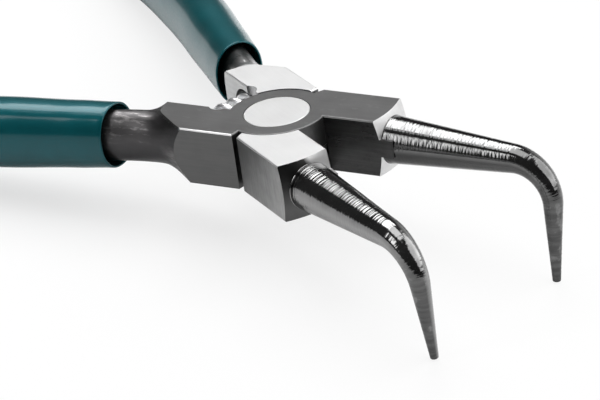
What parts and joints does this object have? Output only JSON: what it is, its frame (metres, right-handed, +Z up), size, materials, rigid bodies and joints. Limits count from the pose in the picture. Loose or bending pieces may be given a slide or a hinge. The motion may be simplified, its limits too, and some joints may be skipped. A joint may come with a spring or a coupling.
{
  "type": "circlip pliers",
  "caption": "Open circlip pliers with a flat lap-joint head, flush rivet, bent round tips, a spring between the shoulders and oval dipped grips.",
  "frame": {"origin": "centre of the bounding box, on the bench that the noses and the grips rest on", "axes": "+X towards the tips, +Z up from the bench, +Y to the left when looking towards the tips; the pivot's axis leans back by 6.4 degrees from +Z towards -X"},
  "size_m": [0.167, 0.1066, 0.0264],
  "materials": {
    "dark_steel": "forged and ground, satin, darker half",
    "bright_steel": "forged and ground, satin",
    "rivet_steel": "ground flush",
    "spring_steel": "bright drawn wire",
    "grip_plastic": "glossy teal dipped plastic"
  },
  "bodies": {
    "fixed_half": {"half_b": "bright_steel", "pivot_rivet": "rivet_steel", "grip_b": "grip_plastic", "return_spring": "spring_steel"},
    "moving_half": {"half_a": "dark_steel", "grip_a": "grip_plastic"}
  },
  "joints": [
    {"name": "pivot", "type": "hinge", "parent": "fixed_half", "child": "moving_half", "pos_m": [0.02606, -0.0016, 0.01825], "axis": [-0.1115, 0, 0.9938], "range_deg": [-33, 4], "stiffness_Nm_per_rad": 5.2, "deforming": ["return_spring"]}
  ]
}
